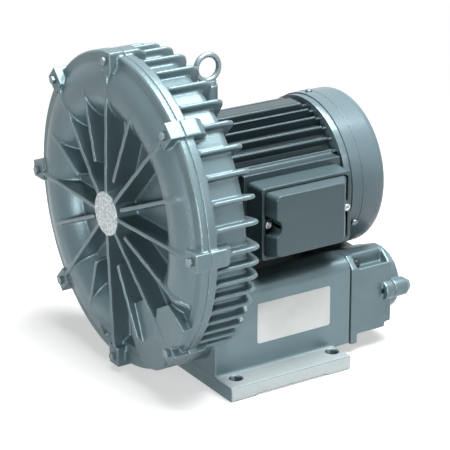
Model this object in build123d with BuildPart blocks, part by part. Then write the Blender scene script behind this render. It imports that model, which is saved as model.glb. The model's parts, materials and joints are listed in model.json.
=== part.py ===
"""Side channel blower: finned casing with silencer base, ribbed cover, vaned impeller and finned motor.

Millimetres, +Z up, +Y from the cover towards the motor. The origin is on the floor, at the centre
of the four foot holes, and the shaft lies along Y above it.
"""
from build123d import *
import os
from math import asin, cos, degrees, pi, radians, sin, sqrt

os.makedirs("parts", exist_ok=True)

# ---- where the main planes and axes are -------------------------------------------------------
axis_height = 182.0        # shaft axis above the floor
joint_y = -127.0           # plane where the cover meets the casing
running_gap = 1.0          # impeller to its housing, each side
touch_free = 0.3           # clearance where parts only lie near each other

# ---- casing and cover -------------------------------------------------------------------------
flange_radius = 171.0
cover_flange = 8.0         # thickness of the cover's rim
casing_flange = 10.0       # thickness of the casing's rim
cover_depth = 22.0         # from the joint plane out to the hub's face
boss_depth = 17.5          # from the joint plane out to the bolt faces
wall_radius = 161.0        # outside of the casing's round wall
chamber_radius = 153.0     # bore that the impeller turns in
channel_radius = 127.0     # middle of the side channel
channel_half = 23.0        # half the channel's width
channel_depth = 20.0       # how deep the cover's half of the channel is
channel_wall = 5.0         # metal over the channel
rear_channel_depth = 12.0
casing_depth = 54.0        # from the joint plane to the back of the round wall
hub_radius = 24.0
web_front = 3.0            # outside of the cover's thin web, behind the joint plane
web_thickness = 5.0
bolt_circle = 165.0        # radius of the cover bolts' circle
bolt_count = 8
boss_width = 19.0
boss_outer = 175.0
rib_thickness = 4.5
channel_start = -20.0      # degrees, where the raised channel begins on the cover
channel_end = 258.0        # degrees, where it ends
cover_bolt_radius = 2.5    # M5

# ---- motor ------------------------------------------------------------------------------------
frame_bore = 66.0
frame_wall = 72.0
frame_fin_radius = 84.5
frame_front = 70.0
frame_rear = 226.0
motor_fin_thickness = 3.2
cowl_radius = 88.0
cowl_wall = 1.6
cowl_front = 234.0
cowl_rear = 281.0
shaft_radius = 12.5
stator_bore = 43.0
air_gap = 0.5
core_front = 100.0
core_rear = 182.0

# ---- ducts, base and feet ---------------------------------------------------------------------
motor_gap = 7.5            # from the motor's fins down to the base
base_valley = axis_height - frame_fin_radius - motor_gap
base_top = base_valley + 22
base_half_width = 104.5
base_front = 47.0          # from the joint plane back to the base's front
base_rear = 221.0
base_underside = 13.0
hump_edge = 72.0           # the base's top slopes down from here
valley_edge = 32.0         # and reaches the valley here
port_x = 67.0              # ducts and ports lie this far to each side
port_z = (base_top + 18) / 2
duct_outer = 38.0
duct_bore = 25.0
silencer_bore = 32.0
foot_half_width = 137.5
foot_thickness = 16.0
foot_front = 46.5
foot_rear = 199.5
foot_hole_radius = 7.0
foot_spacing_x = 234.0
foot_spacing_y = 124.0
foot_relief = 1.5


def across(depth, height=axis_height):
    """Plane square to the shaft, depth behind the joint plane: local x is +X, local y is +Z."""
    return Plane(origin=(0, joint_y + depth, height), x_dir=(1, 0, 0), z_dir=(0, -1, 0))


def radial(angle):
    """Plane through the shaft axis at an angle: local x is the radius, local y the depth."""
    u = (cos(radians(angle)), 0, sin(radians(angle)))
    n = (-sin(radians(angle)), 0, cos(radians(angle)))
    return Plane(origin=(0, joint_y, axis_height), x_dir=u, z_dir=n)


def outward(angle, depth, radius):
    """Plane square to a radius of the shaft, at a depth and a distance from the axis."""
    u = (cos(radians(angle)), 0, sin(radians(angle)))
    place = (radius * u[0], joint_y + depth, axis_height + radius * u[2])
    return Plane(origin=place, x_dir=(0, 1, 0), z_dir=u)


def facing_x(x, depth, height):
    """Upright plane facing +X: local x is +Y, local y is +Z."""
    return Plane(origin=(x, joint_y + depth, height), x_dir=(0, 1, 0), z_dir=(1, 0, 0))


def cowl_corner_edges(piece, radius, depth):
    """The round edge of a piece at a radius from the shaft and a depth."""
    level = piece.edges().filter_by(lambda e: abs(e.center().Y - joint_y - depth) < 0.01)
    return level.filter_by(lambda e: abs(e.length - 2 * pi * radius) < 0.1)


def shaft_line():
    return Axis((0, joint_y, axis_height), (0, 1, 0))


def save(piece, name, colour):
    """Label a finished piece and write it as its own STEP file."""
    piece.part.label = name
    piece.part.color = Color(*colour)
    export_step(piece.part, f"parts/{name}.step")
    print(name, len(piece.part.solids()), round(piece.part.volume / 1000, 1), "cm3")


paint = (0.42, 0.50, 0.53)
bare_steel = (0.72, 0.73, 0.75)
dark_rubber = (0.06, 0.06, 0.07)

# =================================================================================================
# Front cover: web, hub, raised side channel, ribs to the bolt bosses
# =================================================================================================
channel_inner = channel_radius - channel_half
channel_outer = channel_radius + channel_half
land = web_front + web_thickness                  # inside face of the web
crest = land - channel_depth - channel_wall       # outermost line of the channel, as a depth
port_angle = degrees(asin((port_z - axis_height) / sqrt(port_x**2 + (port_z - axis_height) ** 2)))


def rib_shape(inner, outer, inner_slope, outer_slope):
    """A radial rib: straight front edge level with the bolt faces, sloping down at its ends."""
    with BuildPart() as rib:
        with BuildSketch(radial(0)):
            with BuildLine():
                Polyline(
                    (inner, land - 1),
                    (inner, web_front - 2),
                    (inner + inner_slope, -cover_depth),
                    (outer - outer_slope, -boss_depth),
                    (outer, -cover_flange + 1),
                    (outer, -1),
                    (channel_outer, land - 1),
                    close=True,
                )
            make_face()
        extrude(amount=rib_thickness / 2, both=True)
    return rib.part


main_rib = rib_shape(hub_radius - 4, bolt_circle - 2, 0.5, 3)
short_ribs = {
    22.5: (26, 161),
    67.5: (36, 152),
    112.5: (49, 147),
    157.5: (59, 152),
    202.5: (24, 149),
    247.5: (61, 149),
    292.5: (49, 148),
    337.5: (33, 156),
}

crest_radius = channel_radius + 3                  # the raised channel is highest here
arch_foot = channel_inner - channel_wall           # where it leaves the web
arch_edge = flange_radius - 10                     # where it meets the rim
rim_depth = -cover_flange + 1
arch_half = crest_radius - arch_foot
arch_rise = web_front + 1 - crest
arch_radius = (arch_half**2 + arch_rise**2) / (2 * arch_rise)
arch_centre = crest + arch_radius
arch_turn = degrees(asin(arch_half / arch_radius))
half_turn = radians(arch_turn / 2)

with BuildPart() as channel_dome:
    # the channel's rounded end: part of a ball, turned about a line parallel to the shaft
    dome_line = (crest_radius, joint_y, axis_height)
    with BuildSketch(Plane(origin=dome_line, x_dir=(1, 0, 0), z_dir=(0, 0, 1))):
        with BuildLine():
            dome_arc = CenterArc((0, arch_centre), arch_radius, -90, arch_turn)
            Polyline(dome_arc @ 1, (0, (dome_arc @ 1).Y), dome_arc @ 0)
        make_face()
    revolve(axis=Axis(dome_line, (0, 1, 0)), revolution_arc=360)

with BuildPart() as front_cover:
    with BuildSketch(radial(0)):
        with BuildLine():
            Polyline(
                (0, land),
                (chamber_radius - 0.5, land),
                (chamber_radius - 0.5, 0),
                (flange_radius, 0),
                (flange_radius, -cover_flange + 2),
                (flange_radius - 2, -cover_flange),
                (channel_outer + 9, -cover_flange),
                (channel_outer + 7, -cover_flange + 2),
                (channel_outer, -cover_flange + 2),
                (channel_outer - 6, web_front),
                (hub_radius + 2, web_front),
                (hub_radius, -cover_depth),
                (0, -cover_depth),
                close=True,
            )
        make_face()
    revolve(axis=shaft_line(), revolution_arc=360)
    # the raised channel: an arch swept round from the start to the end angle, with domed ends
    with BuildSketch(radial(channel_start)):
        with BuildLine():
            inner_arch = ThreePointArc(
                (arch_foot, web_front + 1),
                (crest_radius - arch_radius * sin(half_turn), arch_centre - arch_radius * cos(half_turn)),
                (crest_radius, crest),
            )
            outer_arch = ThreePointArc(
                (crest_radius, crest),
                (crest_radius + 0.64 * (arch_edge - crest_radius), crest + 0.28 * (rim_depth - crest)),
                (arch_edge, rim_depth),
            )
            Polyline(outer_arch @ 1, (arch_edge, web_front + 1), inner_arch @ 0)
        make_face()
    revolve(axis=shaft_line(), revolution_arc=-(channel_end - channel_start))
    for end in (channel_start, channel_end):
        add(channel_dome.part.rotate(shaft_line(), -end))
    # port chambers below: a round one over each duct line and an angular one beside the channel
    with BuildSketch(across(-channel_wall - 6)):
        with Locations((port_x, port_z - axis_height)):
            Circle(duct_outer)
    extrude(amount=-(channel_wall + 6))
    with BuildSketch(across(crest)):
        Polygon((95, -75), (117, -63), (147, -81), (136, -102), (116, -112), (86, -112), align=None)
    extrude(amount=crest, taper=-2)
    # ribs
    for i in range(bolt_count):
        add(main_rib.rotate(shaft_line(), -i * 360 / bolt_count))
    for angle, (inner, outer) in short_ribs.items():
        add(rib_shape(inner, outer, 7, 14).rotate(shaft_line(), -angle))
    # bolt bosses: blocks from the bolt face back to the joint
    for i in range(bolt_count):
        with BuildSketch(radial(i * 360 / bolt_count)):
            Polygon(
                (channel_outer + 3, -boss_depth),
                (boss_outer, -boss_depth),
                (boss_outer, 0),
                (chamber_radius, 0),
                align=None,
            )
        extrude(amount=boss_width / 2, both=True)
    # the spigot stays inside the casing's bore
    with BuildSketch(across(land + 2)):
        Circle(chamber_radius + 30)
        Circle(chamber_radius - 0.5, mode=Mode.SUBTRACT)
    extrude(amount=land + 2, mode=Mode.SUBTRACT)
    # inside: the channel's cavity, the pocket for the impeller bolt, the bolt holes
    with BuildSketch(radial(channel_start)):
        with BuildLine():
            cavity = ThreePointArc(
                (channel_inner, land),
                (channel_radius, land - channel_depth),
                (channel_outer, land),
            )
            Polyline(cavity @ 1, (channel_outer, land + 1), (channel_inner, land + 1), cavity @ 0)
        make_face()
    revolve(axis=shaft_line(), revolution_arc=-(channel_end - channel_start), mode=Mode.SUBTRACT)
    with BuildSketch(across(land)):
        Circle(hub_radius - channel_wall)
    extrude(amount=land + cover_depth - channel_wall - 2, mode=Mode.SUBTRACT)
    with BuildSketch(across(-cover_depth - 1)):
        with PolarLocations(bolt_circle, bolt_count):
            Circle(cover_bolt_radius + touch_free)
    extrude(amount=-cover_depth - 2, mode=Mode.SUBTRACT)
save(front_cover, "front_cover", paint)

with BuildPart() as cover_bolts:
    with BuildSketch(across(-boss_depth)):
        with PolarLocations(bolt_circle, bolt_count):
            RegularPolygon(4.6, 6)
    extrude(amount=3.5)
    with BuildSketch(across(12)):
        with PolarLocations(bolt_circle, bolt_count):
            Circle(cover_bolt_radius)
    extrude(amount=12 + boss_depth)
save(cover_bolts, "cover_bolts", bare_steel)

# =================================================================================================
# Rear casing: impeller chamber, cooling fins and ducts, with the silencer base and feet below it
# =================================================================================================
fin_radius = 170.0
fin_tip = 64.0
fin_thickness = 5.0
fin_edge = 2.1
impeller_front = land + running_gap
impeller_thickness = 24.0
chamber_back = impeller_front + impeller_thickness + running_gap
casing_back_wall = 8.0
mount_ring_inner = 60.0
mount_ring_outer = 82.0
mount_face = 56.0
seal_radius = 20.0
seal_width = 7.0
seal_groove = 2.5
shield_bolt_circle = 71.0
shield_bolt_radius = 4.0
end_bolt_radius = 3.0
upper_bolt_x = 95.5
upper_bolt_z = base_top - 10
lower_bolt_x = 75.0
lower_bolt_z = 19.5
upper_fins = [9 * i for i in range(21)]
lower_fins = [-45 / 8 * i for i in range(1, 9)]
fin_angles = upper_fins + lower_fins + [180 - a for a in lower_fins]

base_outline = [
    (-base_half_width, base_underside),
    (-base_half_width, base_top),
    (-hump_edge, base_top),
    (-valley_edge, base_valley + 5),
    (0, base_valley),
    (valley_edge, base_valley + 5),
    (hump_edge, base_top),
    (base_half_width, base_top),
    (base_half_width, base_underside),
]

with BuildPart() as fin:
    # one cooling fin: along the round wall, round the corner and inwards over the casing's back
    with BuildSketch(radial(0)):
        with BuildLine():
            Polyline(
                (wall_radius - 4, casing_flange - 3),
                (fin_radius, casing_flange - 3),
                (fin_radius, fin_tip - 9),
                (fin_radius - 3, fin_tip - 2),
                (fin_radius - 9, fin_tip),
                (128, fin_tip),
                (102, mount_face - 8),
                (102, mount_face - 14),
                (wall_radius - 4, mount_face - 14),
                close=True,
            )
        make_face()
    extrude(amount=fin_thickness / 2, both=True)
    side_edges = fin.edges().filter_by(lambda e: abs(e.center().Z - axis_height) > 1)
    outer_edges = side_edges.filter_by(lambda e: e.center().X > fin_radius - 8)
    rear_edges = side_edges.filter_by(lambda e: e.center().Y > joint_y + fin_tip - 1)
    fillet(set(outer_edges + rear_edges), radius=fin_edge)

with BuildPart() as rear_casing:
    with BuildSketch(radial(0)):
        with BuildLine():
            shoulder = ThreePointArc(
                (wall_radius, casing_depth - 9),
                (wall_radius - 3, casing_depth - 2.5),
                (wall_radius - 11, casing_depth),
            )
            Polyline(
                shoulder @ 1,
                (116, casing_depth),
                (98, chamber_back + casing_back_wall + 2),
                (mount_ring_outer + 2, chamber_back + casing_back_wall),
                (mount_ring_outer, mount_face),
                (mount_ring_inner, mount_face),
                (mount_ring_inner, chamber_back + casing_back_wall),
                (0, chamber_back + casing_back_wall),
                (0, chamber_back),
                (chamber_radius, chamber_back),
                (chamber_radius, 0),
                (flange_radius, 0),
                (flange_radius, casing_flange),
                (wall_radius, casing_flange),
                shoulder @ 0,
            )
        make_face()
    revolve(axis=shaft_line(), revolution_arc=360)
    # bolt lugs on the rim
    for i in range(bolt_count):
        with BuildSketch(radial(i * 360 / bolt_count)):
            Polygon(
                (wall_radius - 3, 0),
                (boss_outer, 0),
                (boss_outer, 18),
                (fin_radius, 26),
                (wall_radius - 3, 26),
                align=None,
            )
        extrude(amount=boss_width / 2, both=True, taper=0)
    for angle in fin_angles:
        add(fin.part.rotate(shaft_line(), -angle))
    # ducts from the chamber down to the base
    for side in (-1, 1):
        with BuildSketch(across(base_front + 6)):
            with Locations((side * port_x, port_z - axis_height)):
                Circle(duct_outer)
        extrude(amount=base_front + 6)
    # lifting arm over the motor, ending in the eye bolt's boss
    with BuildSketch(facing_x(0, 0, axis_height)):
        Polygon((45, 96), (105, 98), (105, 120), (62, 140), (45, 150), align=None)
    extrude(amount=7, both=True)
    with BuildSketch(Plane.XY.offset(axis_height + 97)):
        with Locations((0, joint_y + 105)):
            Circle(11)
    extrude(amount=24)
    with BuildSketch(Plane.XY.offset(axis_height + 121)):
        with Locations((0, joint_y + 105)):
            Circle(11)
    extrude(amount=30, mode=Mode.SUBTRACT)
    # the silencer base takes the place of whatever reaches into it
    with BuildSketch(across(base_rear, 0)):
        Polygon(*base_outline, align=None)
    extrude(amount=base_rear - base_front, mode=Mode.SUBTRACT)
    # cavities: impeller chamber, channel and ducts
    with BuildSketch(across(chamber_back)):
        Circle(chamber_radius)
    extrude(amount=chamber_back + 1, mode=Mode.SUBTRACT)
    with BuildSketch(radial(port_angle)):
        with BuildLine():
            groove = ThreePointArc(
                (channel_inner, chamber_back),
                (channel_radius, chamber_back + rear_channel_depth),
                (channel_outer, chamber_back),
            )
            Polyline(
                groove @ 1,
                (channel_outer, chamber_back - 1),
                (channel_inner, chamber_back - 1),
                groove @ 0,
            )
        make_face()
    revolve(axis=shaft_line(), revolution_arc=-(180 - 2 * port_angle), mode=Mode.SUBTRACT)
    for side in (-1, 1):
        with BuildSketch(across(base_front)):
            with Locations((side * port_x, port_z - axis_height)):
                Circle(duct_bore)
        extrude(amount=base_front - chamber_back + 1, mode=Mode.SUBTRACT)
    # seal bore, cover bolt holes, eye bolt hole
    with BuildSketch(across(mount_face)):
        Circle(seal_radius)
    extrude(amount=mount_face, mode=Mode.SUBTRACT)
    with BuildSketch(across(14)):
        with PolarLocations(bolt_circle, bolt_count):
            Circle(cover_bolt_radius)
    extrude(amount=15, mode=Mode.SUBTRACT)
    with BuildSketch(Plane.XY.offset(axis_height + 122)):
        with Locations((0, joint_y + 105)):
            Circle(4)
    extrude(amount=-18, mode=Mode.SUBTRACT)
    with BuildSketch(across(seal_groove)):
        Circle(chamber_radius + 4)
        Circle(chamber_radius + 1, mode=Mode.SUBTRACT)
    extrude(amount=seal_groove, mode=Mode.SUBTRACT)
    with BuildSketch(across(mount_face)):
        with PolarLocations(shield_bolt_circle, 4, start_angle=45):
            Circle(shield_bolt_radius)
    extrude(amount=mount_face - chamber_back - casing_back_wall, mode=Mode.SUBTRACT)
save(rear_casing, "rear_casing", paint)

with BuildPart() as silencer_base:
    # two humps with the motor lying in the valley between them
    with BuildSketch(across(base_rear, 0)):
        Polygon(*base_outline, align=None)
    extrude(amount=base_rear - base_front)
    humps = silencer_base.edges().filter_by(Axis.Y).filter_by(lambda e: e.center().Z > base_top - 1)
    fillet(humps, radius=13)
    # feet and the pads below
    with BuildSketch(Plane.XY):
        with Locations((0, joint_y + (foot_front + foot_rear) / 2)):
            Rectangle(2 * foot_half_width, foot_rear - foot_front)
    extrude(amount=foot_thickness)
    with BuildSketch(Plane.XY.offset(foot_relief / 2)):
        with Locations((0, joint_y + (foot_front + foot_rear) / 2)):
            Rectangle(2 * foot_half_width + 2, 90)
    extrude(amount=foot_relief / 2, both=True, mode=Mode.SUBTRACT)
    # ducts through the front wall, opening into the wider silencer bores
    for side in (-1, 1):
        with BuildSketch(across(base_front + 14)):
            with Locations((side * port_x, port_z - axis_height)):
                Circle(duct_bore)
        extrude(amount=15, mode=Mode.SUBTRACT)
        with BuildSketch(across(base_rear)):
            with Locations((side * port_x, port_z - axis_height)):
                Circle(silencer_bore)
        extrude(amount=base_rear - base_front - 14, mode=Mode.SUBTRACT)
    with BuildSketch(Plane.XY):
        with GridLocations(foot_spacing_x, foot_spacing_y, 2, 2):
            Circle(foot_hole_radius)
    extrude(amount=foot_thickness + 1, mode=Mode.SUBTRACT)
    # tapped holes for the end housing's bolts
    with BuildSketch(across(base_rear, 0)):
        for side in (-1, 1):
            with Locations((side * upper_bolt_x, upper_bolt_z), (side * lower_bolt_x, lower_bolt_z)):
                Circle(end_bolt_radius)
    extrude(amount=16, mode=Mode.SUBTRACT)
save(silencer_base, "silencer_base", paint)

with BuildPart() as cover_seal:
    with BuildSketch(across(seal_groove)):
        Circle(chamber_radius + 4)
        Circle(chamber_radius + 1, mode=Mode.SUBTRACT)
    extrude(amount=seal_groove)
save(cover_seal, "cover_seal", dark_rubber)

# =================================================================================================
# Rotor: impeller with radial vanes on both faces, shaft, fastenings
# =================================================================================================
impeller_outer = chamber_radius - 3.0
impeller_back = impeller_front + impeller_thickness
impeller_middle = impeller_front + impeller_thickness / 2
vane_count = 40
vane_thickness = 2.4
impeller_web = 8.0
hub_outer = 24.0
hub_front = impeller_front + 2
key_width = 8.0
key_height = 7.0
key_bottom = 8.5
key_front = hub_front + 2
key_rear = impeller_back - 2
washer_radius = 16.0
washer_thickness = 3.0
impeller_bolt_radius = 4.0
front_bearing_front = 59.0
front_bearing_width = 15.0
front_bearing_outer_radius = 26.0
rear_bearing_front = 212.0
rear_bearing_width = 14.0
rear_bearing_outer_radius = 23.5
ball_count = 8
rear_seat_radius = 10.0
fan_seat_radius = 9.0
core_seat_radius = 16.0
shaft_end = 268.0


def ring(inner, outer, front, rear):
    """A plain ring about the shaft, added to the part being built."""
    with BuildSketch(across(rear)) as face:
        Circle(outer)
        if inner:
            Circle(inner, mode=Mode.SUBTRACT)
    extrude(face.sketch, amount=rear - front)


def bore(radius, front, rear):
    """A round hole about the shaft, cut from the part being built."""
    with BuildSketch(across(rear)) as face:
        Circle(radius)
    extrude(face.sketch, amount=rear - front, mode=Mode.SUBTRACT)


def keyway(cut):
    """The key's own space, standing on the shaft's flat and reaching into the hub."""
    with BuildSketch(across(key_rear)) as face:
        with Locations((0, key_bottom + key_height / 2)):
            Rectangle(key_width, key_height)
    extrude(face.sketch, amount=key_rear - key_front, mode=Mode.SUBTRACT if cut else Mode.ADD)


with BuildPart() as impeller:
    with BuildSketch(radial(0)):
        with BuildLine():
            Polyline(
                (shaft_radius, hub_front),
                (hub_outer, hub_front),
                (hub_outer + 3, impeller_middle - impeller_web / 2),
                (channel_inner - 6, impeller_middle - impeller_web / 2),
                (channel_inner - 2, impeller_front),
                (channel_inner + 2, impeller_front),
                (channel_inner + 9, impeller_middle - 5),
                (channel_inner + 16, impeller_middle - 1.5),
                (impeller_outer - 1, impeller_middle - 1.5),
                (impeller_outer - 1, impeller_middle + 1.5),
                (channel_inner + 16, impeller_middle + 1.5),
                (channel_inner + 9, impeller_middle + 5),
                (channel_inner + 2, impeller_back),
                (channel_inner - 2, impeller_back),
                (channel_inner - 6, impeller_middle + impeller_web / 2),
                (hub_outer + 3, impeller_middle + impeller_web / 2),
                (hub_outer, impeller_back),
                (shaft_radius, impeller_back),
                close=True,
            )
        make_face()
    revolve(axis=shaft_line(), revolution_arc=360)
    with BuildSketch(across(impeller_back)):
        with PolarLocations((channel_inner + impeller_outer) / 2, vane_count):
            Rectangle(impeller_outer - channel_inner, vane_thickness)
    extrude(amount=impeller_thickness)
    keyway(cut=True)
save(impeller, "impeller", (0.75, 0.76, 0.78))

with BuildPart() as impeller_key:
    keyway(cut=False)
save(impeller_key, "impeller_key", bare_steel)

with BuildPart() as impeller_washer:
    ring(impeller_bolt_radius + 0.3, washer_radius, hub_front - washer_thickness, hub_front)
save(impeller_washer, "impeller_washer", bare_steel)

with BuildPart() as impeller_bolt:
    head_rear = hub_front - washer_thickness
    with BuildSketch(across(head_rear)):
        RegularPolygon(7.5, 6)
    extrude(amount=5.3)
    ring(0, impeller_bolt_radius, head_rear, hub_front + 20)
save(impeller_bolt, "impeller_bolt", bare_steel)

with BuildPart() as motor_shaft:
    front_shoulder = front_bearing_front + front_bearing_width
    ring(0, shaft_radius, hub_front, front_shoulder)
    ring(0, core_seat_radius - 0.5, front_shoulder, core_front)
    ring(0, core_seat_radius, core_front, core_rear)
    ring(0, rear_seat_radius + 4, core_rear, rear_bearing_front)
    ring(0, rear_seat_radius, rear_bearing_front, rear_bearing_front + rear_bearing_width)
    ring(0, fan_seat_radius, rear_bearing_front + rear_bearing_width, shaft_end)
    bore(impeller_bolt_radius, hub_front, hub_front + 22)
    keyway(cut=True)
    with BuildSketch(across(shaft_end - 2)):
        Circle(fan_seat_radius + 1)
        Circle(fan_seat_radius - 0.6, mode=Mode.SUBTRACT)
    extrude(amount=1.2, mode=Mode.SUBTRACT)
save(motor_shaft, "motor_shaft", bare_steel)

rotor_radius = stator_bore - air_gap
with BuildPart() as rotor_core:
    ring(core_seat_radius, rotor_radius, core_front, core_rear)
save(rotor_core, "rotor_core", (0.35, 0.36, 0.38))

with BuildPart() as rotor_end_rings:
    for front in (core_front - 9, core_rear):
        ring(rotor_radius - 14, rotor_radius - 3, front, front + 9)
save(rotor_end_rings, "rotor_end_rings", (0.75, 0.76, 0.78))


def bearing(name, seat, outer, front, width):
    """A deep groove bearing: outer ring, inner ring and balls, each a node of its own."""
    race = (seat + outer) / 2
    ball = (outer - seat) * 0.27
    middle = front + width / 2
    ball_line = Plane(origin=(0, joint_y + middle, axis_height), x_dir=(1, 0, 0), z_dir=(0, -1, 0))
    with BuildPart() as outer_ring:
        ring(race + ball * 0.6, outer, front, front + width)
        with Locations(ball_line):
            Torus(race, ball + touch_free / 3, mode=Mode.SUBTRACT)
    save(outer_ring, name + "_outer_ring", bare_steel)
    with BuildPart() as inner_ring:
        ring(seat, race - ball * 0.6, front, front + width)
        with Locations(ball_line):
            Torus(race, ball, mode=Mode.SUBTRACT)
    save(inner_ring, name + "_inner_ring", bare_steel)
    with BuildPart() as balls:
        with Locations(ball_line):
            with PolarLocations(race, ball_count):
                Sphere(ball)
    save(balls, name + "_balls", (0.8, 0.81, 0.83))


bearing(
    "front_bearing",
    shaft_radius,
    front_bearing_outer_radius,
    front_bearing_front,
    front_bearing_width,
)
bearing(
    "rear_bearing",
    rear_seat_radius,
    rear_bearing_outer_radius,
    rear_bearing_front,
    rear_bearing_width,
)

with BuildPart() as shaft_seal:
    ring(shaft_radius + 0.05, seal_radius, chamber_back + 1, chamber_back + 1 + seal_width)
save(shaft_seal, "shaft_seal", dark_rubber)

# =================================================================================================
# Motor: end shields, finned frame, stator, fan and cowl
# =================================================================================================
shield_head_radius = 6.5
shield_head_depth = 8.0
front_hub_radius = 34.0
rear_hub_radius = 31.0
rim_outer = cowl_radius - cowl_wall
rim_inner = rim_outer - 5
rim_rear = 251.0
rear_plate = 6.0
fan_radius = 72.0
fan_front = 244.0
fan_rear = 264.6
fan_blades = 8
cowl_screw_depth = 243.0
cowl_screw_radius = 2.0
cowl_screw_angles = (97, 215, 334)
box_middle = 157.5         # terminal box's middle, behind the joint plane
box_height = 80.0
box_length = 113.0
box_drop = 3.5             # its middle lies this far below the shaft axis
pad_face = 85.0
box_rim = 112.0
box_wall = 4.0
entry_radius = 10.0
entry_x = 99.0
entry_drop = 23.0          # the cable entry lies this far below the box's middle
box_screw_span = 100.0

with BuildPart() as front_endshield:
    ring(0, mount_ring_inner - 0.1, mount_face - 5, mount_face)
    ring(0, frame_fin_radius, mount_face, frame_front)
    ring(0, frame_bore - 0.1, frame_front, frame_front + 4)
    ring(0, front_hub_radius, frame_front, front_bearing_front + front_bearing_width + 2)
    bore(front_bearing_outer_radius, front_bearing_front, 120)
    bore(shaft_radius + 1.5, 0, front_bearing_front)
    with BuildSketch(across(frame_front)):
        with PolarLocations(shield_bolt_circle, 4, start_angle=45):
            Circle(shield_head_radius + 0.3)
    extrude(amount=shield_head_depth, mode=Mode.SUBTRACT)
    with BuildSketch(across(frame_front)):
        with PolarLocations(shield_bolt_circle, 4, start_angle=45):
            Circle(shield_bolt_radius + 0.3)
    extrude(amount=frame_front - mount_face, mode=Mode.SUBTRACT)
save(front_endshield, "front_endshield", paint)

with BuildPart() as motor_flange_bolts:
    seat = frame_front - shield_head_depth
    with BuildSketch(across(frame_front - 0.5)):
        with PolarLocations(shield_bolt_circle, 4, start_angle=45):
            Circle(shield_head_radius)
    extrude(amount=frame_front - 0.5 - seat)
    with BuildSketch(across(seat)):
        with PolarLocations(shield_bolt_circle, 4, start_angle=45):
            Circle(shield_bolt_radius)
    extrude(amount=seat - chamber_back - casing_back_wall)
    with BuildSketch(across(frame_front - 0.5)):
        with PolarLocations(shield_bolt_circle, 4, start_angle=45):
            RegularPolygon(3.4, 6)
    extrude(amount=4, mode=Mode.SUBTRACT)
save(motor_flange_bolts, "motor_flange_bolts", bare_steel)

frame_screw_radius = 2.0
motor_fins = [33 + 10 * i for i in range(6)] + [97 + 10 * i for i in range(23)]
with BuildPart() as motor_frame:
    ring(frame_bore, frame_wall, frame_front, frame_rear)
    for angle in motor_fins:
        with BuildSketch(radial(angle)):
            Polygon(
                (frame_wall - 2, frame_front),
                (frame_fin_radius, frame_front),
                (frame_fin_radius, frame_rear - 8),
                (frame_fin_radius - 3, frame_rear - 7),
                (frame_fin_radius - 3, frame_rear),
                (frame_wall - 2, frame_rear),
                align=None,
            )
        extrude(amount=motor_fin_thickness / 2, both=True)
    # flat pad on top and the terminal box's pad on the side
    with BuildSketch(across(frame_rear - 8)):
        with Locations((0, frame_fin_radius - 8)):
            Rectangle(19, 16)
        with Locations(((frame_bore + pad_face) / 2 - 6, -box_drop + 2)):
            Rectangle(pad_face - frame_bore + 12, box_height + 10)
    extrude(amount=frame_rear - 8 - 96)
    bore(frame_bore, frame_front, frame_rear)
    with BuildSketch(across(frame_rear)):
        with PolarLocations((frame_bore + frame_wall) / 2, 4, start_angle=45):
            Circle(frame_screw_radius)
    extrude(amount=12, mode=Mode.SUBTRACT)
    with BuildSketch(facing_x(0, box_middle, axis_height - box_drop)):
        Circle(11)
    extrude(amount=pad_face + 5, mode=Mode.SUBTRACT)
save(motor_frame, "motor_frame", paint)

with BuildPart() as stator_core:
    ring(stator_bore, frame_bore, core_front, core_rear)
save(stator_core, "stator_core", (0.35, 0.36, 0.38))

with BuildPart() as stator_windings:
    for front, rear in ((core_front - 18, core_front), (core_rear, core_rear + 18)):
        ring(stator_bore + 5, frame_bore - 4, front, rear)
save(stator_windings, "stator_windings", (0.55, 0.26, 0.12))

with BuildPart() as rear_endshield:
    ring(0, rim_outer, frame_rear, frame_rear + rear_plate)
    ring(rim_inner, rim_outer, frame_rear + rear_plate, rim_rear)
    ring(0, frame_bore - 0.1, frame_rear - 4, frame_rear)
    ring(0, rear_hub_radius, rear_bearing_front - 2, frame_rear)
    bore(rear_bearing_outer_radius, rear_bearing_front - 3, frame_rear)
    bore(fan_seat_radius + 1.5, frame_rear, 300)
    with BuildSketch(across(frame_rear + rear_plate)):
        with PolarLocations((frame_bore + frame_wall) / 2, 4, start_angle=45):
            Circle(frame_screw_radius + touch_free)
    extrude(amount=rear_plate, mode=Mode.SUBTRACT)
    for angle in cowl_screw_angles:
        with BuildSketch(outward(angle, cowl_screw_depth, rim_inner - 1)):
            Circle(cowl_screw_radius)
        extrude(amount=8, mode=Mode.SUBTRACT)
save(rear_endshield, "rear_endshield", paint)

with BuildPart() as frame_screws:
    plate_rear = frame_rear + rear_plate
    head = (frame_screw_radius + 1.5, plate_rear + 2.5, 2.5)
    shank = (frame_screw_radius, plate_rear, 17)
    for radius, rear, length in (head, shank):
        with BuildSketch(across(rear)):
            with PolarLocations((frame_bore + frame_wall) / 2, 4, start_angle=45):
                Circle(radius)
        extrude(amount=length)
save(frame_screws, "frame_screws", bare_steel)

with BuildPart() as cooling_fan:
    ring(0, fan_seat_radius + 7, fan_front, fan_rear)
    ring(0, fan_radius, fan_front, fan_front + 2.5)
    with BuildSketch(across(fan_rear - 2)):
        with PolarLocations((fan_radius + fan_seat_radius) / 2 + 3, fan_blades):
            Rectangle(fan_radius - fan_seat_radius - 10, 2.5)
    extrude(amount=fan_rear - 2 - fan_front)
    bore(fan_seat_radius, fan_front, fan_rear)
save(cooling_fan, "cooling_fan", (0.08, 0.08, 0.09))

with BuildPart() as fan_circlip:
    ring(fan_seat_radius - 0.6, fan_seat_radius + 3, shaft_end - 3.2, shaft_end - 2)
    with BuildSketch(across(shaft_end - 2)):
        with Locations((0, fan_seat_radius + 2)):
            Rectangle(5, 8)
    extrude(amount=1.2, mode=Mode.SUBTRACT)
save(fan_circlip, "fan_circlip", bare_steel)

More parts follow.
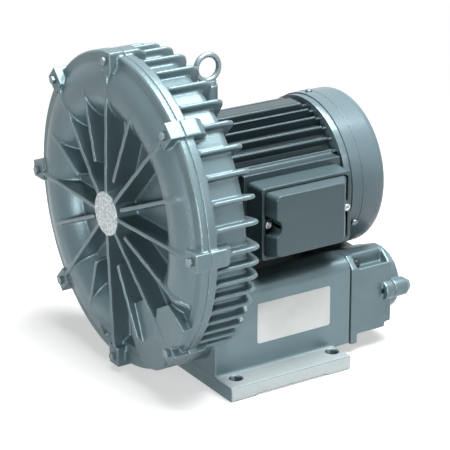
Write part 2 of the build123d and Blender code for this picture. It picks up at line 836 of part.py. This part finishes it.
cowl_corner = 10.0
slot_pitch = 8.0
slot_width = 3.8
with BuildPart() as fan_cowl:
    with BuildSketch(radial(0)):
        with BuildLine():
            outer_edge = Polyline((cowl_radius, cowl_front), (cowl_radius, cowl_rear), (0, cowl_rear))
            inner_edge = Polyline(
                (0, cowl_rear),
                (0, cowl_rear - cowl_wall),
                (rim_outer, cowl_rear - cowl_wall),
                (rim_outer, cowl_front),
                (cowl_radius, cowl_front),
            )
        make_face()
    revolve(axis=shaft_line(), revolution_arc=360)
    fillet(cowl_corner_edges(fan_cowl, cowl_radius, cowl_rear), radius=cowl_corner)
    fillet(cowl_corner_edges(fan_cowl, rim_outer, cowl_rear - cowl_wall), radius=cowl_corner - cowl_wall)
    # the grille: rings of slots between six spokes
    with BuildSketch(across(cowl_rear)):
        for i in reversed(range(7)):
            Circle(16 + i * slot_pitch + slot_width)
            Circle(16 + i * slot_pitch, mode=Mode.SUBTRACT)
        for i in range(3):
            Rectangle(4 * cowl_radius, 6, rotation=30 + 60 * i, mode=Mode.SUBTRACT)
    extrude(amount=cowl_wall + 1, mode=Mode.SUBTRACT)
    for angle in cowl_screw_angles:
        with BuildSketch(outward(angle, cowl_screw_depth, rim_inner)):
            Circle(cowl_screw_radius + touch_free)
        extrude(amount=10, mode=Mode.SUBTRACT)
save(fan_cowl, "fan_cowl", paint)

with BuildPart() as cowl_screws:
    for angle in cowl_screw_angles:
        with BuildSketch(outward(angle, cowl_screw_depth, rim_inner)):
            Circle(cowl_screw_radius)
        extrude(amount=cowl_radius - rim_inner)
        with BuildSketch(outward(angle, cowl_screw_depth, cowl_radius)):
            Circle(cowl_screw_radius + 2.2)
        extrude(amount=2.4, taper=12)
save(cowl_screws, "cowl_screws", bare_steel)

# =================================================================================================
# Terminal box on the motor's side
# =================================================================================================
box_gasket = 1.0
box_face = 130.0
notch = 13.0


def beside(x):
    """Upright plane facing +X at the terminal box's middle, at a distance from the shaft."""
    return facing_x(x, box_middle, axis_height - box_drop)


with BuildPart() as terminal_box_base:
    with BuildSketch(beside(pad_face)):
        RectangleRounded(box_length, box_height, 4)
    extrude(amount=box_rim - pad_face)
    with BuildSketch(beside(pad_face + box_wall)):
        RectangleRounded(box_length - 2 * box_wall, box_height - 2 * box_wall, 5)
        for end in (-1, 1):
            with Locations((end * (box_length / 2 - 7), 0)):
                Rectangle(14, 12, mode=Mode.SUBTRACT)
    extrude(amount=box_rim, mode=Mode.SUBTRACT)
    with BuildSketch(beside(box_rim)):
        with GridLocations(box_screw_span, 0, 2, 1):
            Circle(2)
    extrude(amount=-15, mode=Mode.SUBTRACT)
    with BuildSketch(beside(pad_face)):
        Circle(11)
    extrude(amount=10, mode=Mode.SUBTRACT)
    # cable entry in the rear wall
    with BuildSketch(across(box_middle + box_length / 2, axis_height - box_drop - entry_drop)):
        with Locations((entry_x, 0)):
            Circle(entry_radius)
    extrude(amount=box_wall + 1, mode=Mode.SUBTRACT)
save(terminal_box_base, "terminal_box_base", paint)


cover_length = 103.0
cover_height = 73.0
face_length = 85.0
face_height = 67.0


def screw_notches(x, depth):
    """Round notches that clear the two screws, cut from the part being built."""
    with BuildSketch(beside(x)) as round_notches:
        with GridLocations(box_screw_span + 6, 0, 2, 1):
            Circle(notch - 3)
    extrude(round_notches.sketch, amount=depth, mode=Mode.SUBTRACT)


with BuildPart() as terminal_box_gasket:
    with BuildSketch(beside(box_rim)):
        with Locations((-2, 0)):
            RectangleRounded(cover_length - 1, cover_height - 1, 4)
            RectangleRounded(box_length - 30, box_height - 16, 5, mode=Mode.SUBTRACT)
    extrude(amount=box_gasket)
    screw_notches(box_rim, box_gasket)
save(terminal_box_gasket, "terminal_box_gasket", dark_rubber)

with BuildPart() as terminal_box_cover:
    with BuildSketch(beside(box_rim + box_gasket)):
        with Locations((-2, 0)):
            RectangleRounded(cover_length, cover_height, 5)
    with BuildSketch(beside(box_face)):
        with Locations((-7, 2)):
            RectangleRounded(face_length, face_height, 6)
    loft()
    with BuildSketch(beside(box_rim + box_gasket)):
        with Locations((-4, 0)):
            RectangleRounded(box_length - 36, box_height - 18, 5)
    extrude(amount=box_face - box_rim - box_gasket - box_wall, mode=Mode.SUBTRACT)
    screw_notches(box_rim + box_gasket, box_face)
save(terminal_box_cover, "terminal_box_cover", paint)

with BuildPart() as terminal_box_screws:
    for length, radius in ((3.0, 3.8), (-14.0, 2.0)):
        with BuildSketch(beside(box_rim)):
            with GridLocations(box_screw_span, 0, 2, 1):
                Circle(radius)
        extrude(amount=length)
    with BuildSketch(beside(box_rim + 3)):
        with GridLocations(box_screw_span, 0, 2, 1):
            RegularPolygon(1.7, 6)
    extrude(amount=-2, mode=Mode.SUBTRACT)
save(terminal_box_screws, "terminal_box_screws", bare_steel)

with BuildPart() as terminal_block:
    with BuildSketch(beside(pad_face + box_wall)):
        with Locations((0, 22)):
            Rectangle(64, 20)
    extrude(amount=12)
    with BuildSketch(beside(pad_face + box_wall + 12)):
        with Locations((0, 22)):
            with GridLocations(20, 11, 3, 2):
                Circle(2.4)
    extrude(amount=5)
save(terminal_block, "terminal_block", (0.10, 0.10, 0.11))

# =================================================================================================
# Lifting eye bolt
# =================================================================================================
eye_depth = 105.0
eye_base = axis_height + 121
eye_ring = 14.0
eye_wire = 3.0
with BuildPart() as eye_bolt:
    with BuildSketch(Plane.XY.offset(eye_base)):
        with Locations((0, joint_y + eye_depth)):
            Circle(9.5)
    extrude(amount=4)
    with BuildSketch(Plane.XY.offset(eye_base)):
        with Locations((0, joint_y + eye_depth)):
            Circle(4)
    extrude(amount=-16)
    ring_middle = (0, joint_y + eye_depth, eye_base + 1 + eye_ring + eye_wire)
    with Locations(Plane(origin=ring_middle, z_dir=(1, 0, 0))):
        Torus(eye_ring, eye_wire)
save(eye_bolt, "eye_bolt", bare_steel)

# =================================================================================================
# Silencer sleeves, gasket, rear end housing and port flanges
# =================================================================================================
sleeve_bore = 23.0
end_gasket_thickness = 2.0
plate_front = base_rear + end_gasket_thickness
plate_rear_face = 231.5
body_rear = 277.5
port_face = 290.0
port_flange_radius = 36.0
port_thread_radius = 23.9
ear_offset = 36.0
ear_radius = 10.5
ear_face = 295.0
port_bolt_radius = 4.0
sides = (-1, 1)


for side, name in ((1, "silencer_foam_inlet"), (-1, "silencer_foam_outlet")):
    with BuildPart() as silencer_foam:
        with BuildSketch(across(base_rear, 0)):
            with Locations((side * port_x, port_z)):
                Circle(silencer_bore)
                Circle(sleeve_bore, mode=Mode.SUBTRACT)
        extrude(amount=base_rear - base_front - 14)
    save(silencer_foam, name, (0.16, 0.16, 0.17))

def end_outline(half_width, bottom, shoulder, corner, top, slope, valley):
    """Outline of the end housing or its gasket: two humps and the valley between, both sides alike."""
    right = [
        (valley_edge, valley),
        (slope, top),
        (corner, top),
        (half_width, shoulder),
        (half_width, bottom),
    ]
    left = [(-x, z) for x, z in reversed(right)]
    return Polygon(*left, *right, align=None)


with BuildPart() as end_gasket:
    with BuildSketch(across(plate_front, 0)):
        end_outline(base_half_width - 2.5, 14, base_top - 15, 88, base_top - 4, 74, base_valley + 3)
        for side in sides:
            with Locations((side * port_x, port_z)):
                Circle(silencer_bore, mode=Mode.SUBTRACT)
            with Locations((side * upper_bolt_x, upper_bolt_z), (side * lower_bolt_x, lower_bolt_z)):
                Circle(end_bolt_radius + touch_free, mode=Mode.SUBTRACT)
    extrude(amount=end_gasket_thickness)
save(end_gasket, "end_gasket", dark_rubber)

with BuildPart() as end_housing:
    # flange plate
    with BuildSketch(across(plate_rear_face, 0)):
        end_outline(base_half_width, 10, base_top - 13, 91, base_top - 1, hump_edge, base_valley + 5)
    extrude(amount=plate_rear_face - plate_front)
    # body
    with BuildSketch(across(body_rear, 0)):
        end_outline(base_half_width, 27, base_top - 15, 87, base_top - 2, 73, base_valley + 4)
    extrude(amount=body_rear - plate_rear_face)
    with BuildSketch(across(body_rear - 8, 0)):
        for side in sides:
            with Locations((side * 96.5, 25)):
                Rectangle(16, 8)
    extrude(amount=body_rear - 8 - plate_rear_face)
    # stubs behind the port flanges' outer ears
    with BuildSketch(across(body_rear, 0)):
        for side in sides:
            with Locations((side * (port_x + ear_offset), port_z)):
                Circle(ear_radius)
    extrude(amount=12)
    # pockets over the upper bolts
    with BuildSketch(across(body_rear - 5, 0)):
        for side in sides:
            with Locations((side * upper_bolt_x, base_top - 6)):
                Rectangle(13, 22)
    extrude(amount=body_rear - 5 - plate_rear_face, mode=Mode.SUBTRACT)
    with BuildSketch(across(plate_rear_face, 0)):
        for side in sides:
            with Locations((side * upper_bolt_x, upper_bolt_z), (side * lower_bolt_x, lower_bolt_z)):
                Circle(end_bolt_radius + touch_free)
    extrude(amount=plate_rear_face - plate_front, mode=Mode.SUBTRACT)
    # port chambers, necks and the tapped holes for the port flanges
    with BuildSketch(across(body_rear - 12, 0)):
        for side in sides:
            with Locations((side * port_x, port_z)):
                Circle(silencer_bore - 2)
    extrude(amount=body_rear - 12 - plate_front, mode=Mode.SUBTRACT)
    with BuildSketch(across(body_rear, 0)):
        for side in sides:
            with Locations((side * port_x, port_z)):
                Circle(port_thread_radius)
            with Locations((side * (port_x + ear_offset), port_z), (side * (port_x - ear_offset), port_z)):
                Circle(port_bolt_radius)
    extrude(amount=12, mode=Mode.SUBTRACT)
save(end_housing, "end_housing", paint)

with BuildPart() as end_housing_bolts:
    for rear, radius, length in ((plate_rear_face + 5, 5.0, 5.0), (plate_rear_face, end_bolt_radius, 22.0)):
        with BuildSketch(across(rear, 0)):
            for side in sides:
                with Locations((side * upper_bolt_x, upper_bolt_z), (side * lower_bolt_x, lower_bolt_z)):
                    Circle(radius)
        extrude(amount=length)
    with BuildSketch(across(plate_rear_face + 5, 0)):
        for side in sides:
            with Locations((side * upper_bolt_x, upper_bolt_z), (side * lower_bolt_x, lower_bolt_z)):
                RegularPolygon(2.9, 6)
    extrude(amount=3, mode=Mode.SUBTRACT)
save(end_housing_bolts, "end_housing_bolts", bare_steel)

for side, name in ((1, "inlet_flange"), (-1, "outlet_flange")):
    with BuildPart() as port_flange:
        with BuildSketch(across(port_face, 0)):
            with Locations((side * port_x, port_z)):
                Circle(port_flange_radius)
        extrude(amount=port_face - body_rear)
        with BuildSketch(across(ear_face, 0)):
            with Locations((side * port_x, port_z)):
                with GridLocations(2 * ear_offset, 0, 2, 1):
                    Circle(ear_radius)
        extrude(amount=ear_face - body_rear)
        with BuildSketch(across(ear_face, 0)):
            with Locations((side * port_x, port_z)):
                Circle(port_thread_radius)
                with GridLocations(2 * ear_offset, 0, 2, 1):
                    Circle(port_bolt_radius + touch_free)
        extrude(amount=ear_face - body_rear, mode=Mode.SUBTRACT)
    save(port_flange, name, paint)

with BuildPart() as port_flange_bolts:
    for shape, rear, length in ((True, ear_face + 5.3, 5.3), (False, ear_face, ear_face - body_rear + 11)):
        with BuildSketch(across(rear, 0)):
            for side in sides:
                with Locations((side * port_x, port_z)):
                    with GridLocations(2 * ear_offset, 0, 2, 1):
                        if shape:
                            RegularPolygon(7.5, 6)
                        else:
                            Circle(port_bolt_radius)
        extrude(amount=length)
save(port_flange_bolts, "port_flange_bolts", bare_steel)

plate_depth = 147.0
with BuildPart() as nameplate:
    with BuildSketch(facing_x(base_half_width, plate_depth, port_z)):
        RectangleRounded(94, 46, 3)
    extrude(amount=0.6)
save(nameplate, "nameplate", (0.88, 0.89, 0.88))
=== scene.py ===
import bmesh
import bpy
import json
from math import cos, pi, radians, sin
from mathutils import Matrix, Vector


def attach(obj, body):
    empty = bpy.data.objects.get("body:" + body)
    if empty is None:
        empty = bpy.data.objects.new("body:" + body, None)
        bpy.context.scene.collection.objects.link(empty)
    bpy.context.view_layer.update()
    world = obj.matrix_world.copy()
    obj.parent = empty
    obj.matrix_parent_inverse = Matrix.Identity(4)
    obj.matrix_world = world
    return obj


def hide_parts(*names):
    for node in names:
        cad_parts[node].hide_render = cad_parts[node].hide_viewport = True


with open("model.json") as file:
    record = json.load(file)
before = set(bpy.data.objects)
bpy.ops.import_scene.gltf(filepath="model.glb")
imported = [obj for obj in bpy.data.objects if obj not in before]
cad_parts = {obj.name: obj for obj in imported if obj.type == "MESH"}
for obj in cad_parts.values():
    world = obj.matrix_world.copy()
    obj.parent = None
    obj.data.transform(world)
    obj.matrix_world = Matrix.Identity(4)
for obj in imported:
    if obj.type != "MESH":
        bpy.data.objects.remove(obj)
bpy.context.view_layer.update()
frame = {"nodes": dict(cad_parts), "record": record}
nodes = frame["nodes"]
bodies = frame["record"]["behaviour"]["bodies"]
bodyOf = {node: body for body, members in bodies.items() for node in members}
print("frame loaded:", len(nodes), "nodes")

shaftY = -0.127       # joint plane of cover and casing
shaftZ = 0.182        # shaft height


class Val:
    # wraps a shader socket so that maths reads as plain expressions
    def __init__(self, shader, socket):
        self.shader, self.socket = shader, socket

    def maths(self, operation, *values):
        node = self.shader.node("ShaderNodeMath", {"operation": operation}, dict(enumerate(values)))
        return node["Value"]

    def __add__(self, other):
        return self.maths("ADD", self, other)

    __radd__ = __add__

    def __sub__(self, other):
        return self.maths("SUBTRACT", self, other)

    def __rsub__(self, other):
        return self.maths("SUBTRACT", other, self)

    def __mul__(self, other):
        return self.maths("MULTIPLY", self, other)

    __rmul__ = __mul__

    def __pow__(self, other):
        return self.maths("POWER", self, other)

    def __abs__(self):
        return self.maths("ABSOLUTE", self)

    def orMore(self, other):
        return self.maths("MAXIMUM", self, other)

    def above(self, low, high):
        # 0 below low, 1 above high, smooth between
        settings = {"interpolation_type": "SMOOTHSTEP"}
        sockets = {"Value": self, "From Min": low, "From Max": high}
        return self.shader.node("ShaderNodeMapRange", settings, sockets)["Result"]


class Outputs:
    # a node's outputs by name, each as a Val
    def __init__(self, shader, node):
        self.shader, self.raw = shader, node

    def __getitem__(self, name):
        return Val(self.shader, self.raw.outputs[name])


class Shader:
    # the node tree of a material or a world
    def __init__(self, owner):
        owner.use_nodes = True
        self.owner = owner
        self.tree = owner.node_tree
        self.tree.nodes.clear()

    def node(self, kind, settings=None, sockets=None):
        node = self.tree.nodes.new(kind)
        for key, value in (settings or {}).items():
            setattr(node, key, value)
        for key, value in (sockets or {}).items():
            self.feed(node.inputs[key], value)
        return Outputs(self, node)

    def feed(self, target, value):
        if isinstance(value, Val):
            self.tree.links.new(value.socket, target)
        elif target.type == "RGBA":
            target.default_value = (*value, 1.0)
        else:
            target.default_value = value

    def place(self):
        return self.node("ShaderNodeTexCoord")["Object"]

    def noise(self, scale, detail=3.0, roughness=0.55, stretch=(1, 1, 1)):
        at = self.node("ShaderNodeMapping", {}, {"Vector": self.place(), "Scale": stretch})["Vector"]
        return self.node("ShaderNodeTexNoise", {}, {
            "Vector": at, "Scale": scale, "Detail": detail, "Roughness": roughness})[0]

    def blend(self, factor, first, second):
        # a Mix node keeps its two colours at sockets 6 and 7, and their result at 2
        mixed = self.node("ShaderNodeMix", {"data_type": "RGBA"}, {"Factor": factor, 6: first, 7: second})
        return mixed[2]

    def parts(self, vector):
        return self.node("ShaderNodeSeparateXYZ", {}, {"Vector": vector})

    def facing(self):
        return self.parts(self.node("ShaderNodeNewGeometry")["Normal"])

    def finish(self, surface, bump=None, strength=0.2, distance=0.0005):
        if bump is not None:
            surface = dict(surface)
            surface["Normal"] = self.node("ShaderNodeBump", {}, {
                "Strength": strength, "Distance": distance, "Height": bump})["Normal"]
        shaded = self.node("ShaderNodeBsdfPrincipled", {}, surface)
        self.node("ShaderNodeOutputMaterial", {}, {"Surface": shaded["BSDF"]})
        return self.owner


castPaint = {"base": (0.135, 0.198, 0.218), "worn": (0.40, 0.47, 0.49), "grain": 520.0, "patch": 22.0,
             "rough": 0.36, "metallic": 0.5, "wear": 0.7}
motorPaint = dict(castPaint, base=(0.052, 0.080, 0.090), rough=0.34)
smoothPaint = dict(castPaint, base=(0.110, 0.160, 0.180), rough=0.30, patch=10.0, metallic=0.22, wear=0.0)
boxPaint = dict(castPaint, base=(0.060, 0.096, 0.107), rough=0.30, patch=12.0, metallic=0.2, wear=0.0)
rearEndPaint = dict(castPaint, base=(0.120, 0.176, 0.194), rough=0.36)

# where bare metal shows: its two tones, and the pairs of metres over which its edges fade
milledFeet = {"base": (0.40, 0.45, 0.46), "spot": (0.44, 0.49, 0.50),
              "beyondX": (0.1055, 0.1065), "belowZ": (0.0168, 0.0176)}
bareHub = {"base": (0.34, 0.39, 0.40), "spot": (0.72, 0.77, 0.78),
           "depth": (0.0216, 0.0210), "radius": (0.023, 0.025), "cover": 0.95}
facingTo = (0.90, 0.97)      # how squarely a face must point the given way


def paintedCasting(name, look, grainDepth, machined=None, bareLook=None):
    s = Shader(bpy.data.materials.new(name))
    patches = s.noise(look["patch"], 4.0)
    grain = s.noise(look["grain"], 2.0, 0.7)
    edge = s.node("ShaderNodeNewGeometry")["Pointiness"].above(0.51, 0.60)
    shade = s.blend(patches.above(0.3, 0.7) * 0.5, look["base"], tuple(c * 0.84 for c in look["base"]))
    colour = s.blend(edge * grain.above(0.35, 0.6) * look["wear"], shade, look["worn"])
    rough = patches * 0.16 + grain * 0.10 + (look["rough"] - 0.13)
    surface = {"Base Color": colour, "Roughness": rough, "Metallic": look["metallic"],
               "Specular IOR Level": 0.35}
    if machined is not None:
        bare = machined(s)      # 1 where the metal is bare, 0 where it is painted
        lines = s.noise(160.0, 2.0, 0.5, (1, 14, 1))
        metal = s.blend(grain.above(0.35, 0.65), bareLook["base"], bareLook["spot"])
        surface["Base Color"] = s.blend(bare, colour, metal)
        surface["Roughness"] = rough * (1 - bare) + (lines * 0.12 + 0.40) * bare
    return s.finish(surface, bump=grain, strength=grainDepth, distance=0.0004)


def footTops(s):
    # the feet's upper faces and outer edges are milled bright
    at, facing = s.parts(s.place()), s.facing()
    beyond = abs(at["X"]).above(*milledFeet["beyondX"])
    low = 1 - at["Z"].above(*milledFeet["belowZ"])
    up = facing["Z"].above(*facingTo)
    side = abs(facing["X"]).above(*facingTo)
    return beyond * low * up.orMore(side)


def hubFace(s):
    # the hub's flat face is bright where the paint is thin
    at = s.parts(s.place())
    outer, inner = bareHub["depth"]
    front = 1 - at["Y"].above(shaftY - outer, shaftY - inner)
    across = at["X"] * at["X"] + (at["Z"] - shaftZ) * (at["Z"] - shaftZ)
    near = 1 - across.above(*(radius ** 2 for radius in bareHub["radius"]))
    return front * near * bareHub["cover"]


def steelFinish(name, colour=(0.56, 0.58, 0.59), rough=0.30, lines=(1, 1, 1)):
    s = Shader(bpy.data.materials.new(name))
    fine = s.noise(500.0, 3.0, 0.6, lines)
    blotch = s.noise(70.0, 3.0)
    tint = s.blend(blotch.above(0.35, 0.7) * 0.5, colour, tuple(c * 0.78 for c in colour))
    return s.finish({"Base Color": tint, "Metallic": 1.0, "Roughness": blotch * 0.18 + (rough - 0.08)},
                    bump=fine, strength=0.12, distance=0.0002)


def plainFinish(name, colour, rough=0.5, metallic=0.0, grain=400.0, depth=0.15):
    s = Shader(bpy.data.materials.new(name))
    fine = s.noise(grain, 3.0)
    tint = s.blend(s.noise(30.0).above(0.3, 0.7) * 0.4, colour, tuple(c * 0.8 for c in colour))
    return s.finish({"Base Color": tint, "Metallic": metallic, "Roughness": fine * 0.15 + (rough - 0.07)},
                    bump=fine, strength=depth, distance=0.0002)


finishes = {
    "cover": paintedCasting("castCover", castPaint, 0.8, hubFace, bareHub),
    "casing": paintedCasting("castCasing", castPaint, 0.45, footTops, milledFeet),
    "motor": paintedCasting("motorPaint", motorPaint, 0.18),
    "smooth": paintedCasting("smoothPaint", smoothPaint, 0.02),
    "box": paintedCasting("boxPaint", boxPaint, 0.02),
    "rearEnd": paintedCasting("rearEndPaint", rearEndPaint, 0.25),
    "steel": steelFinish("zincSteel"),
    "bolt": steelFinish("paintedBolt", (0.22, 0.27, 0.29), 0.42),
    "black": steelFinish("blackedSteel", (0.05, 0.055, 0.06), 0.42),
    "eye": steelFinish("forgedEye", (0.26, 0.33, 0.35), 0.42),
    "bearing": steelFinish("bearingSteel", (0.66, 0.67, 0.68), 0.16),
    "laminated": steelFinish("laminatedSteel", (0.22, 0.22, 0.23), 0.48, (1, 40, 1)),
    "aluminium": steelFinish("machinedAluminium", (0.70, 0.71, 0.72), 0.34, (1, 8, 1)),
    "rubber": plainFinish("darkRubber", (0.016, 0.017, 0.019), 0.62),
    "plastic": plainFinish("blackPlastic", (0.022, 0.023, 0.026), 0.45),
    "foam": plainFinish("silencerFoam", (0.055, 0.056, 0.060), 0.92, 0.0, 900.0, 0.8),
    "winding": plainFinish("varnishedWire", (0.30, 0.085, 0.03), 0.30, 0.6, 260.0, 0.7),
    "label": plainFinish("bareLabel", (0.72, 0.75, 0.74), 0.34, 0.0, 60.0, 0.02),
}
nodesOf = {
    # finish: the nodes that have it; bearings have their own, and what is left is steel
    "cover": ["front_cover"],
    "casing": ["rear_casing", "silencer_base"],
    "motor": ["motor_frame", "front_endshield"],
    "smooth": ["rear_endshield", "fan_cowl"],
    "box": ["terminal_box_base", "terminal_box_cover"],
    "rearEnd": ["end_housing", "inlet_flange", "outlet_flange"],
    "bolt": ["cover_bolts", "port_flange_bolts", "cowl_screws"],
    "black": ["end_housing_bolts", "fan_circlip"],
    "eye": ["eye_bolt"],
    "laminated": ["rotor_core", "stator_core"],
    "aluminium": ["impeller", "rotor_end_rings"],
    "rubber": ["cover_seal", "shaft_seal", "end_gasket", "terminal_box_gasket"],
    "plastic": ["cooling_fan", "terminal_block"],
    "foam": ["silencer_foam_inlet", "silencer_foam_outlet"],
    "winding": ["stator_windings"],
    "label": ["nameplate"],
}
finishOf = {name: "bearing" if "bearing" in name else "steel" for name in nodes}
finishOf.update((name, finish) for finish, names in nodesOf.items() for name in names)
for name, node in nodes.items():
    node.data.materials.clear()
    node.data.materials.append(finishes[finishOf[name]])
print("finishes made:", len(finishes))


castSkins = {
    # node: voxel in metres, smoothing passes, share of faces kept
    "front_cover": (0.0010, 3, 0.35),
    "rear_casing": (0.0012, 3, 0.35),
    "motor_frame": (0.0010, 3, 0.30),
    "end_housing": (0.0011, 3, 0.30),
    "terminal_box_base": (0.0010, 3, 0.30),
    "terminal_box_cover": (0.0009, 4, 0.30),
    "inlet_flange": (0.0009, 4, 0.35),
    "outlet_flange": (0.0009, 4, 0.35),
}
oneCasting = {"rear_casing": ["silencer_base"]}      # cast in one piece with the node they follow


def joinedMesh(names):
    joined = bmesh.new()
    for name in names:
        joined.from_mesh(nodes[name].data)
    mesh = bpy.data.meshes.new(names[0] + "Solid")
    joined.to_mesh(mesh)
    joined.free()
    return mesh


def newPiece(name, mesh):
    piece = bpy.data.objects.new(name, mesh)
    bpy.context.scene.collection.objects.link(piece)
    return piece


def dress(piece, members):
    # applies the modifiers, then lets the piece stand for its nodes
    graph = bpy.context.evaluated_depsgraph_get()
    mesh = bpy.data.meshes.new_from_object(piece.evaluated_get(graph))
    piece.modifiers.clear()
    piece.data = mesh
    mesh.materials.clear()
    mesh.materials.append(finishes[finishOf[members[0]]])
    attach(piece, bodyOf[members[0]])
    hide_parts(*members)
    return mesh


def castSkin(name, voxel, passes, keep):
    members = [name] + oneCasting.get(name, [])
    piece = newPiece(name + "_skin", joinedMesh(members))
    remesh = piece.modifiers.new("remesh", "REMESH")
    remesh.mode = "VOXEL"
    remesh.voxel_size = voxel * 1.0
    remesh.use_smooth_shade = True
    smooth = piece.modifiers.new("smooth", "SMOOTH")
    smooth.factor = 0.5
    smooth.iterations = passes
    thin = piece.modifiers.new("thin", "DECIMATE")
    thin.ratio = keep
    mesh = dress(piece, members)
    mesh.shade_smooth()
    print("  ", name, len(mesh.polygons), "faces")


for name, (voxel, passes, keep) in castSkins.items():
    castSkin(name, voxel, passes, keep)
print("castings made")


# small turned and formed pieces: how far their edges are broken, in metres
brokenEdges = {
    "cover_bolts": 0.0006, "port_flange_bolts": 0.0007, "cowl_screws": 0.0005, "terminal_box_screws": 0.0005,
    "rear_endshield": 0.0010, "front_endshield": 0.0010, "end_housing_bolts": 0.0005, "nameplate": 0.0002,
}


def brokenEdge(name, width):
    piece = newPiece(name + "_edged", nodes[name].data.copy())
    weld = piece.modifiers.new("weld", "WELD")
    weld.merge_threshold = 0.00001
    flat = piece.modifiers.new("flat", "DECIMATE")
    flat.decimate_type = "DISSOLVE"
    flat.angle_limit = radians(1.0)
    bevel = piece.modifiers.new("bevel", "BEVEL")
    bevel.width = width
    bevel.segments = 2
    bevel.limit_method = "ANGLE"
    bevel.angle_limit = radians(35)
    bevel.harden_normals = True
    dress(piece, [name])


for name, width in brokenEdges.items():
    brokenEdge(name, width)
print("small pieces made")


# the cowl's rolled seam
seam = {"depth": 0.2482, "radius": 0.0880, "width": 0.0014, "height": 0.0005, "steps": 144,
        "profile": [(-0.5, -0.4), (-0.3, 0.7), (0.0, 1.0), (0.3, 0.7), (0.5, -0.4)]}


def cowlSeam():
    mesh = bpy.data.meshes.new("cowlSeam")
    ring = bmesh.new()
    steps, profile, rows = seam["steps"], seam["profile"], []
    for i in range(steps):
        turn = 2 * pi * i / steps
        rows.append([])
        for along, out in profile:
            r = seam["radius"] + out * seam["height"]
            y = shaftY + seam["depth"] + along * seam["width"]
            rows[-1].append(ring.verts.new((r * cos(turn), y, shaftZ + r * sin(turn))))
    for i in range(steps):
        here, there = rows[i], rows[(i + 1) % steps]
        for k in range(len(profile)):
            n = (k + 1) % len(profile)
            ring.faces.new((here[k], here[n], there[n], there[k]))
    bmesh.ops.recalc_face_normals(ring, faces=ring.faces)
    ring.to_mesh(mesh)
    ring.free()
    mesh.shade_smooth()
    mesh.materials.append(finishes["smooth"])
    piece = newPiece("cowl_seam", mesh)
    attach(piece, "housing")


cowlSeam()
print("cowl seam made")


studio = {
    "floor": 40.0,            # half its width
    "seenTone": 0.60,         # the floor as the camera and glossy faces see it
    "bounceTone": 0.08,       # the floor as it lights the object
    "glow": 0.50,             # white added to what is seen of it
    "fade": (0.45, 1.1),      # it turns white between these distances
    "fill": 0.035,            # the world's light on the object
}
lamps = {
    # place, what it points at, size, watts
    "overhead": ((0.30, 0.20, 1.6), (0.0, 0.0, 0.15), (1.1, 1.0), 66.0),
    "front": ((1.25, -1.65, 0.34), (0.0, -0.1, 0.18), (0.5, 0.4), 24.0),
    "right": ((1.9, 0.45, 0.9), (0.0, 0.0, 0.15), (0.35, 0.7), 6.0),
}
view = {"place": (1.6209, -1.0221, 0.8675), "yaw": 57.79, "pitch": 20.83, "roll": -0.30, "lens": 149.49}


def seenRays(s):
    # 1 for what the camera, a glossy face or glass sees, 0 for light that falls on the object
    path = s.node("ShaderNodeLightPath")
    return path["Is Camera Ray"].orMore(path["Is Glossy Ray"]).orMore(path["Is Transmission Ray"])


def paleFloor():
    mesh = bpy.data.meshes.new("floor")
    half = studio["floor"]
    corners = [(-half, -half, 0), (half, -half, 0), (half, half, 0), (-half, half, 0)]
    mesh.from_pydata(corners, [], [(0, 1, 2, 3)])
    s = Shader(bpy.data.materials.new("paleFloor"))
    seen = seenRays(s)
    tone, bounce = studio["seenTone"], studio["bounceTone"]
    at = s.parts(s.place())
    away = (at["X"] * at["X"] + at["Y"] * at["Y"]) ** 0.5
    diffuse = s.node("ShaderNodeBsdfDiffuse", {}, {
        "Color": s.blend(seen, (bounce, bounce, bounce), (tone, tone, tone))})
    white = s.node("ShaderNodeEmission", {}, {"Color": (1.0, 1.0, 1.0), "Strength": 1.0})
    glow = s.node("ShaderNodeEmission", {}, {"Color": (1.0, 1.0, 1.0), "Strength": seen * studio["glow"]})
    lit = s.node("ShaderNodeAddShader", {}, {0: diffuse["BSDF"], 1: glow["Emission"]})
    far = away.above(*studio["fade"]) * seen
    mixed = s.node("ShaderNodeMixShader", {}, {0: far, 1: lit["Shader"], 2: white["Emission"]})
    s.node("ShaderNodeOutputMaterial", {}, {"Surface": mixed["Shader"]})
    mesh.materials.append(s.owner)
    newPiece("floor", mesh)


def softLight(name, place, aim, size, power):
    lamp = bpy.data.lights.new(name, "AREA")
    lamp.shape = "RECTANGLE"
    lamp.size, lamp.size_y = size
    lamp.energy = power
    holder = newPiece(name, lamp)
    holder.location = place
    holder.rotation_euler = (Vector(aim) - Vector(place)).to_track_quat("-Z", "Y").to_euler()


def paleWorld():
    world = bpy.data.worlds.new("studio")
    bpy.context.scene.world = world
    s = Shader(world)
    strength = s.node("ShaderNodeMapRange", {}, {
        "Value": seenRays(s), "To Min": studio["fill"], "To Max": 1.0})["Result"]
    sky = s.node("ShaderNodeBackground", {}, {"Color": (1.0, 1.0, 1.0), "Strength": strength})
    s.node("ShaderNodeOutputWorld", {}, {"Surface": sky["Background"]})


def placeCamera():
    camera = newPiece("camera", bpy.data.cameras.new("camera"))
    yaw, pitch = radians(view["yaw"]), radians(view["pitch"])
    looking = Vector((-sin(yaw) * cos(pitch), cos(yaw) * cos(pitch), -sin(pitch)))
    turned = looking.to_track_quat("-Z", "Y").to_matrix().to_4x4()
    roll = Matrix.Rotation(radians(view["roll"]), 4, "Z")
    camera.matrix_world = Matrix.Translation(view["place"]) @ turned @ roll
    camera.data.lens = view["lens"]
    camera.data.sensor_width = 36.0
    camera.data.clip_start, camera.data.clip_end = 0.05, 50.0
    bpy.context.scene.camera = camera


paleFloor()
paleWorld()
for name, (place, aim, size, power) in lamps.items():
    softLight(name, place, aim, size, power)
placeCamera()
bpy.context.scene.view_settings.view_transform = "Standard"
print("floor, lights and camera made")
